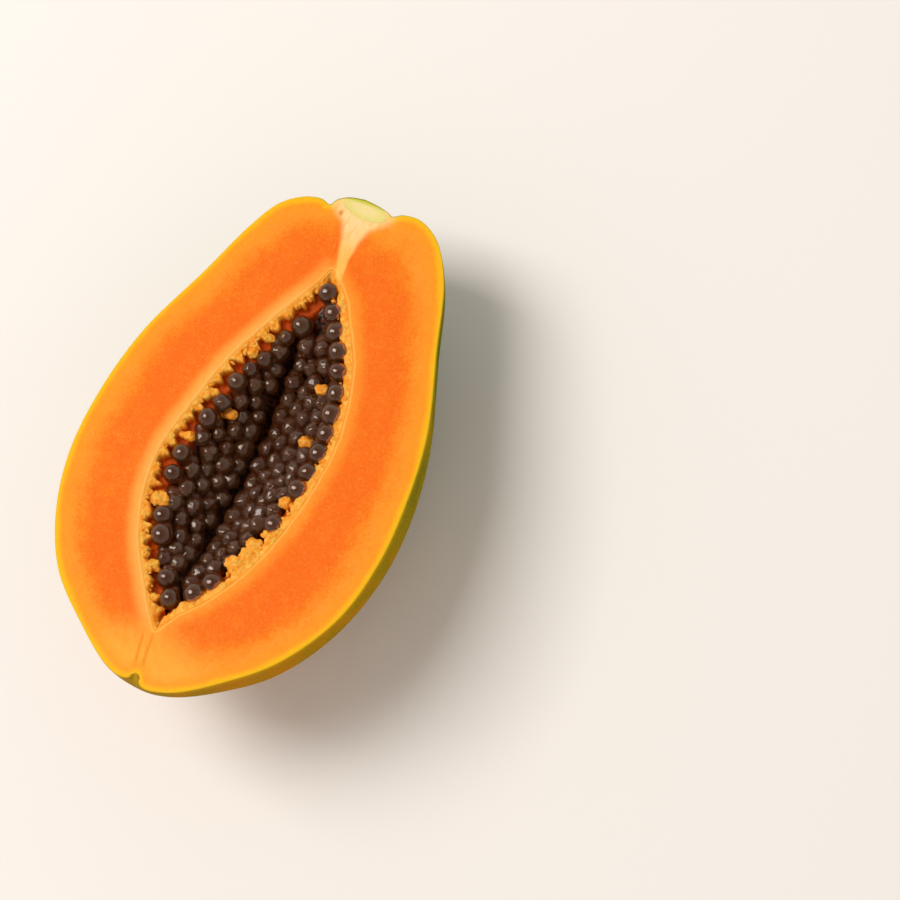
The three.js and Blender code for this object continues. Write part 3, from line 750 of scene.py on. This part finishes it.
class Material:
    """A node material under construction."""

    def __init__(self, name):
        self.material = bpy.data.materials.new(name)
        self.material.use_nodes = True
        self.tree = self.material.node_tree
        self.shader = self.tree.nodes["Principled BSDF"]
        self.place = self.tree.nodes.new("ShaderNodeTexCoord").outputs["Object"]

    def fill(self, socket, value):
        if isinstance(value, bpy.types.NodeSocket):
            self.tree.links.new(value, socket)
        else:
            socket.default_value = value

    def set(self, **values):
        for name, value in values.items():
            self.fill(self.shader.inputs[name.replace("_", " ")], value)

    def number(self, name):
        node = self.tree.nodes.new("ShaderNodeAttribute")
        node.attribute_name = name
        return node.outputs["Fac"]

    def math(self, kind, *values, clamp=False):
        node = self.tree.nodes.new("ShaderNodeMath")
        node.operation = kind
        node.use_clamp = clamp
        for socket, value in zip(node.inputs, values):
            self.fill(socket, value)
        return node.outputs[0]

    def times(self, first, second):
        return self.math("MULTIPLY", first, second)

    def sway(self, value, amount):
        """A 0 to 1 value made to swing about zero, by half the amount either way."""
        return self.times(self.math("SUBTRACT", value, 0.5), amount)

    def spread(self, value, low, high, to_low=0.0, to_high=1.0):
        node = self.tree.nodes.new("ShaderNodeMapRange")
        node.interpolation_type = "SMOOTHSTEP"
        for socket, given in zip(node.inputs, (value, low, high, to_low, to_high)):
            self.fill(socket, given)
        return node.outputs[0]

    def near(self, value, middle, width):
        """1 where the value is at the middle, falling to 0 at the width from it."""
        off = self.math("ABSOLUTE", self.math("SUBTRACT", value, middle))
        return self.spread(off, width, width * 0.15)

    def noise(self, size, detail=3.0, roughness=0.5, stretch=None, turn=0.0):
        """Noise from 0 to 1 with features of that size in mm."""
        node = self.tree.nodes.new("ShaderNodeTexNoise")
        where = self.place
        if stretch:
            mapping = self.tree.nodes.new("ShaderNodeMapping")
            self.fill(mapping.inputs["Vector"], where)
            mapping.inputs["Rotation"].default_value = (0, 0, turn)
            mapping.inputs["Scale"].default_value = stretch
            where = mapping.outputs[0]
        self.fill(node.inputs["Vector"], where)
        node.inputs["Scale"].default_value = 1 / (size * MM)
        node.inputs["Detail"].default_value = detail
        node.inputs["Roughness"].default_value = roughness
        return node.outputs["Fac"]

    def cells(self, size):
        """Distance to the middle of the nearest of many cells of that size in mm."""
        node = self.tree.nodes.new("ShaderNodeTexVoronoi")
        self.fill(node.inputs["Vector"], self.place)
        node.inputs["Scale"].default_value = 1 / (size * MM)
        return node.outputs["Distance"]

    def mix(self, share, first, second, blend="MIX"):
        node = self.tree.nodes.new("ShaderNodeMix")
        node.data_type = "RGBA"
        node.blend_type = blend
        self.fill(node.inputs[0], share)
        self.fill(node.inputs[6], first)
        self.fill(node.inputs[7], second)
        return node.outputs[2]

    def bump(self, height, depth, normal=None):
        """Bumps of that depth in mm where the height goes from 0 to 1."""
        node = self.tree.nodes.new("ShaderNodeBump")
        node.inputs["Distance"].default_value = depth * MM
        self.fill(node.inputs["Height"], height)
        if normal is not None:
            self.fill(node.inputs["Normal"], normal)
        return node.outputs[0]


def soft_flesh(made):
    made.set(Subsurface_Weight=0.25, Subsurface_Scale=0.002, Specular_IOR_Level=0.12)
    made.shader.inputs["Subsurface Radius"].default_value = (1.0, 0.35, 0.08)


def redness(made, from_skin, from_rim, along, blotch, mottle):
    """How red the flesh is: most in the middle of the wall, least at the skin and the ends."""
    whole = made.math("ADD", made.math("ADD", from_skin, from_rim), 0.01)
    share = made.math("DIVIDE", from_skin, whole)
    red = made.times(made.spread(share, 0.12, 0.5), made.spread(share, 1.0, 0.78, 0.1, 1.0))
    red = made.times(red, made.spread(along, 172, 145, 0.5, 1.0))
    red = made.times(red, made.spread(along, 4, 26, 0.35, 1.0))
    red = made.math("ADD", red, made.sway(blotch, 0.7))
    red = made.math("ADD", red, made.sway(mottle, 0.8))
    return made.math("ADD", red, made.sway(made.noise(0.9, 2, 0.6), 0.9))


def blossom_share(made, along, across, mottle):
    """How near a place lies to the blossom end, where the flesh is yellower."""
    x_squared, y_squared = made.times(along, along), made.times(across, across)
    from_tip = made.math("ADD", x_squared, made.times(y_squared, 0.4))
    return made.spread(made.math("ADD", from_tip, made.sway(mottle, 90)), 460, 20, 0, 0.85)


def flesh_ground(made, from_skin, from_rim, along, across):
    """Red-orange flesh that turns orange towards its edges and yellow under the skin."""
    blotch = made.noise(17, 3)
    mottle = made.noise(4.0, 4, 0.55)
    red = redness(made, from_skin, from_rim, along, blotch, mottle)
    color = made.mix(made.spread(red, -0.15, 0.7), srgb(249, 150, 36), srgb(247, 130, 14))
    color = made.mix(made.spread(red, 0.35, 1.15), color, srgb(245, 108, 6))
    color = made.mix(made.spread(from_rim, 7.0, 0.8, 0, 0.6), color, srgb(255, 150, 44))
    left_rim = made.times(made.spread(from_rim, 6.0, 1.0, 0, 0.6), made.spread(across, 0, 8))
    color = made.mix(left_rim, color, srgb(255, 180, 88))
    color = made.mix(blossom_share(made, along, across, mottle), color, srgb(250, 172, 56))
    rind = made.math("ADD", from_skin, made.sway(blotch, 2.4))
    color = made.mix(made.spread(rind, 6.5, 2.0, 0, 0.75), color, srgb(248, 152, 18))
    return made.mix(made.spread(rind, 2.7, 0.8), color, srgb(248, 182, 10))


def stem_strand(made, color, along):
    """Pale fibres from the stem scar to the cavity."""
    fibre = made.noise(1.8, 3, 0.5, stretch=(0.3, 1.2, 1.0))
    pale = made.mix(made.spread(along, 150, 164), srgb(255, 196, 92), srgb(254, 218, 150))
    pale = made.mix(made.spread(fibre, 0.45, 0.62, 0, 0.35), pale, srgb(252, 176, 84))
    return made.mix(made.times(made.number("pale"), 0.9), color, pale)


def stem_scar(made, color, along, across):
    """The cut through the stem scar, with a dark nick at its left end."""
    scar = made.number("scar")
    ragged = made.math("ADD", scar, made.sway(made.noise(1.5, 3), 0.12))
    inside = made.mix(made.spread(ragged, 0.35, 1.0), srgb(242, 218, 146), srgb(230, 214, 120))
    inside = made.mix(made.spread(along, 170.5, 172.3), inside, srgb(196, 200, 50))
    color = made.mix(made.spread(ragged, 1.06, 0.98), color, inside)
    lip = made.times(made.near(ragged, 1.03, 0.07), made.spread(along, 171, 168))
    color = made.mix(made.times(lip, 0.4), color, srgb(206, 180, 90))
    nick = made.times(made.near(along, 165.9, 1.5), made.near(across, 5.8, 1.1))
    return made.mix(made.times(nick, 0.8), color, srgb(226, 132, 22))


def blossom_lines(made, color, along, across):
    """Two faint lines from the blossom dimple to the cavity, and the dimple's dark specks."""
    wobble = made.sway(made.noise(3.0, 2), 1.2)
    within = made.times(made.spread(along, 3.0, 6.0), made.spread(along, 16.5, 13.0))
    for start, slope in ((1.1, 0.2), (-1.35, 0.145)):
        course = made.math("ADD", made.math("ADD", made.times(along, slope), start), wobble)
        line = made.times(made.near(made.math("SUBTRACT", across, course), 0, 0.9), within)
        color = made.mix(made.times(line, 0.75), color, srgb(242, 134, 18))
    off = made.math("ADD", made.times(along, along), made.times(across, across))
    speckle = made.math("ADD", off, made.sway(made.noise(0.6, 3, 0.6), 5.0))
    return made.mix(made.spread(speckle, 3.4, 1.6), color, srgb(92, 70, 20))


def flesh_material():
    made = Material("papaya_flesh")
    from_skin = made.number("from_skin")
    from_rim = made.number("from_rim")
    along = made.number("along")
    across = made.number("across")
    depth = made.number("depth")
    color = flesh_ground(made, from_skin, from_rim, along, across)
    color = stem_strand(made, color, along)
    line = made.near(from_rim, made.math("ADD", 1.0, made.sway(made.noise(5, 2), 0.9)), 0.55)
    color = made.mix(made.times(line, 0.36), color, srgb(255, 204, 100))
    color = stem_scar(made, color, along, across)
    color = blossom_lines(made, color, along, across)
    edge = made.spread(from_skin, 0.5, 0.1, 0, 0.8)
    rind_line = made.mix(made.spread(along, 30, 120), srgb(214, 178, 20), srgb(184, 186, 28))
    color = made.mix(edge, color, rind_line)
    # Painted shade: the cavity's wall turns deep orange the deeper it lies under the cut plane.
    color = made.mix(made.spread(depth, 0.9, 3.0, 0, 0.9), color, srgb(214, 88, 10))
    flecks = made.noise(0.7, 2, 0.5, stretch=(1.0, 0.7, 1.0), turn=0.6)
    color = made.mix(made.spread(flecks, 0.52, 0.8, 0, 0.22), color, srgb(255, 176, 90))

    grain = made.noise(0.9, 3, 0.6)
    height = made.math("ADD", made.times(made.noise(2.6, 4, 0.6), 0.6), made.times(grain, 0.4))
    made.set(Base_Color=color, Normal=made.bump(height, 0.32))
    made.set(Roughness=made.spread(grain, 0.35, 0.7, 0.5, 0.65))
    soft_flesh(made)
    return made.material


def pulp_material():
    """Torn pulp: pale on its tops, with painted shade that turns it deep orange in its pits and dark
    red-brown deeper down.
    """
    made = Material("papaya_pulp")
    depth = made.number("depth")
    lump = made.number("lump")
    clot = made.noise(1.7, 4, 0.6)
    top = made.mix(made.spread(clot, 0.35, 0.65), srgb(252, 146, 28), srgb(255, 184, 74))
    # Painted shade: deep orange the deeper the pulp is sunk, faint on the lumps.
    sunk = made.math("ADD", depth, made.sway(clot, 1.2))
    painted_pit_shade = made.times(made.spread(sunk, 1.4, 3.6), made.spread(lump, 1, 0, 0.15, 1.0))
    color = made.mix(painted_pit_shade, top, srgb(218, 86, 8))
    # Painted shade: dark red-brown deeper still, away from the lumps.
    painted_hollow_shade = made.times(made.spread(sunk, 4.5, 7.5), made.spread(lump, 1, 0))
    color = made.mix(painted_hollow_shade, color, srgb(140, 46, 8))
    grain = made.noise(0.6, 3, 0.6)
    normal = made.bump(grain, 0.18, made.bump(clot, 0.4))
    made.set(Base_Color=color, Normal=normal, Roughness=0.3)
    soft_flesh(made)
    return made.material


def skin_material():
    made = Material("papaya_skin")
    along = made.number("along")
    depth = made.number("depth")
    patch = made.noise(34, 3, 0.55)
    cloud = made.noise(9, 4, 0.6)
    fine = made.noise(1.1, 3, 0.6)
    green = made.math("ADD", made.spread(along, 20, 165, 0.0, 0.5), made.times(patch, 0.8))
    green = made.math("ADD", green, made.sway(cloud, 0.5))
    color = made.mix(made.spread(green, 0.3, 0.65), srgb(186, 118, 4), srgb(144, 122, 4))
    color = made.mix(made.spread(green, 0.6, 1.0), color, srgb(86, 100, 10))
    color = made.mix(made.spread(depth, 4.0, 0.0, 0, 0.7), color, srgb(206, 152, 12))
    speck = made.times(made.spread(made.cells(4.2), 0.2, 0.1), made.spread(cloud, 0.45, 0.6))
    color = made.mix(made.times(speck, 0.5), color, srgb(90, 84, 20))
    color = made.mix(made.spread(fine, 0.4, 0.75, 0, 0.13), color, srgb(222, 198, 80))
    cork = made.mix(made.spread(fine, 0.25, 0.75), srgb(150, 124, 62), srgb(184, 166, 96))
    scar = made.times(made.spread(along, 168.5, 170.5), made.spread(made.number("scar"), 3.0, 1.6))
    scar = made.times(scar, made.spread(made.math("ADD", depth, made.sway(cloud, 3.0)), 10.6, 8.4))
    color = made.mix(scar, color, cork)
    color = made.mix(made.spread(along, 1.8, -1.2, 0, 0.6), color, srgb(150, 128, 44))
    normal = made.bump(cloud, 0.25, made.bump(fine, 0.12))
    made.set(Base_Color=color, Normal=normal, Roughness=made.spread(fine, 0.3, 0.7, 0.46, 0.58))
    made.set(Specular_IOR_Level=0.0, Coat_Weight=0.045, Coat_Roughness=0.25)
    return made.material


def gel_material():
    """The clear brown coat round each seed."""
    made = Material("seed_gel")
    color = made.mix(made.number("tint"), srgb(236, 160, 90), srgb(206, 124, 62))
    wrinkle = made.times(made.number("uneven"), made.noise(1.3, 3, 0.6))
    made.set(Base_Color=color, Roughness=0.03, IOR=1.36, Transmission_Weight=0.94)
    made.set(Specular_Tint=srgb(255, 214, 180))
    made.set(Coat_Weight=0.9, Coat_Roughness=0.03, Coat_IOR=1.5)
    made.set(Sheen_Weight=0.5, Sheen_Roughness=0.3, Sheen_Tint=srgb(196, 96, 36))
    made.set(Normal=made.bump(wrinkle, 3.0))
    return made.material


def kernel_material():
    made = Material("seed_kernel")
    rough = made.noise(0.8, 3, 0.6)
    color = made.mix(rough, srgb(22, 11, 7), srgb(76, 41, 22))
    color = made.mix(made.times(made.number("tint"), 0.4), color, srgb(82, 46, 26))
    made.set(Base_Color=color, Normal=made.bump(rough, 0.35), Roughness=0.5)
    made.set(Specular_IOR_Level=0.1)
    return made.material


def wet_seed_material():
    """Seeds of the lower layer: dark and wet."""
    made = Material("wet_seed")
    rough = made.noise(1.2, 3, 0.6)
    color = made.mix(rough, srgb(44, 21, 9), srgb(112, 60, 28))
    made.set(Base_Color=color, Normal=made.bump(rough, 0.3), Roughness=0.35)
    made.set(Specular_IOR_Level=0.2, Coat_Weight=0.5, Coat_Roughness=0.06)
    return made.material


def bed_material():
    made = Material("seed_bed")
    rough = made.noise(1.4, 3, 0.6)
    # Painted shade: dark brown for the deep gaps between the seeds and for the groove, partly the
    # tone of the seeds below.
    color = made.mix(made.spread(rough, 0.4, 0.7), srgb(30, 13, 5), srgb(104, 46, 14))
    made.set(Base_Color=color, Normal=made.bump(rough, 0.5), Roughness=0.3)
    made.set(Specular_IOR_Level=0.2, Coat_Weight=0.2, Coat_Roughness=0.1)
    return made.material


def floor_material():
    made = Material("floor")
    made.set(Base_Color=srgb(246, 239, 231), Roughness=0.85, Specular_IOR_Level=0.1)
    return made.material


def area_light(name, towards, distance, size, power, color):
    light = bpy.data.lights.new(name, "AREA")
    light.shape = "RECTANGLE"
    light.size, light.size_y = size
    light.energy = power
    light.color = color
    lamp = bpy.data.objects.new(name, light)
    aim = Vector((0, 0, 0.05))
    lamp.location = aim + Vector(towards).normalized() * distance
    lamp.rotation_euler = (aim - lamp.location).to_track_quat("-Z", "Y").to_euler()
    bpy.context.scene.collection.objects.link(lamp)


def studio():
    """A pale floor under a soft window of light, in an evenly lit room."""
    mesh = bpy.data.meshes.new("floor")
    corners = [(x * FLOOR_REACH, y * FLOOR_REACH, 0) for x, y in ((-1, -1), (1, -1), (1, 1), (-1, 1))]
    mesh.from_pydata(corners, [], [(0, 1, 2, 3)])
    mesh.materials.append(floor_material())
    floor = bpy.data.objects.new("floor", mesh)
    bpy.context.scene.collection.objects.link(floor)
    area_light("window", WINDOW_WAY, WINDOW_DISTANCE, WINDOW_SIZE, WINDOW_POWER, WINDOW_COLOR)
    world = bpy.data.worlds.new("studio")
    world.use_nodes = True
    tree = world.node_tree
    tree.nodes["Background"].inputs["Color"].default_value = ROOM_COLOR
    way = tree.nodes.new("ShaderNodeTexCoord").outputs["Generated"]
    height = tree.nodes.new("ShaderNodeSeparateXYZ")
    tree.links.new(way, height.inputs[0])
    glow = tree.nodes.new("ShaderNodeMapRange")
    for socket, value in zip(glow.inputs[1:5], ROOM_GLOW):
        socket.default_value = value
    tree.links.new(height.outputs["Z"], glow.inputs[0])
    tree.links.new(glow.outputs[0], tree.nodes["Background"].inputs["Strength"])
    bpy.context.scene.world = world
    bpy.context.scene.view_settings.view_transform = "Standard"


def camera():
    lens = bpy.data.cameras.new("camera")
    lens.lens = CAMERA_LENS
    lens.clip_start, lens.clip_end = 0.05, 20
    eye = bpy.data.objects.new("camera", lens)
    back = (Vector(CAMERA_AT) - Vector(CAMERA_AIM)).normalized()
    side = Vector((0, 0, 1)).cross(back).normalized()
    up = back.cross(side)
    up = math.cos(CAMERA_ROLL) * up + math.sin(CAMERA_ROLL) * side
    side = up.cross(back)
    turn = Matrix((side, up, back)).transposed().to_4x4()
    eye.matrix_world = Matrix.Translation(CAMERA_AT) @ turn
    bpy.context.scene.collection.objects.link(eye)
    bpy.context.scene.camera = eye


def finish_piece(piece, materials, node):
    for material in materials:
        piece.data.materials.append(material)
    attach(piece, "root")
    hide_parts(node)


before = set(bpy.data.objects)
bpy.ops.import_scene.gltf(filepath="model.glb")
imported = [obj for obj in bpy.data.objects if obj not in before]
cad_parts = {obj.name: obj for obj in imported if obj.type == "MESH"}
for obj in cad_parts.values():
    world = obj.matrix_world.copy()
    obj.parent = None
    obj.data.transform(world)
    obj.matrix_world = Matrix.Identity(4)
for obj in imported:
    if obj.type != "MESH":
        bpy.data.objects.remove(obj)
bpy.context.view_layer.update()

finish_piece(build_fruit(), [skin_material(), flesh_material()], "fruit_half")
finish_piece(build_pulp(), [pulp_material()], "fruit_half")

rim_seeds, inner_seeds = place_seeds()
top_layer = [(rim_seeds, RIM_SEED_ROUGH), (inner_seeds, INNER_SEED_ROUGH)]
gel = build_seeds("seed_gel", top_layer, scale=1.0, sides=30, levels=20)
finish_piece(gel, [gel_material()], "seeds")
kernels = build_seeds("seed_kernels", top_layer, scale=KERNEL_SIZE, sides=20, levels=14)
finish_piece(kernels, [kernel_material()], "seeds")
lower = [(lower_layer(np.concatenate([rim_seeds, inner_seeds])), LOWER_SEED_ROUGH)]
below = build_seeds("seeds_below", lower, scale=LOWER_SEED_SIZE, sides=20, levels=14)
finish_piece(below, [wet_seed_material()], "seeds")
finish_piece(build_bed(), [bed_material()], "seeds")

studio()
camera()
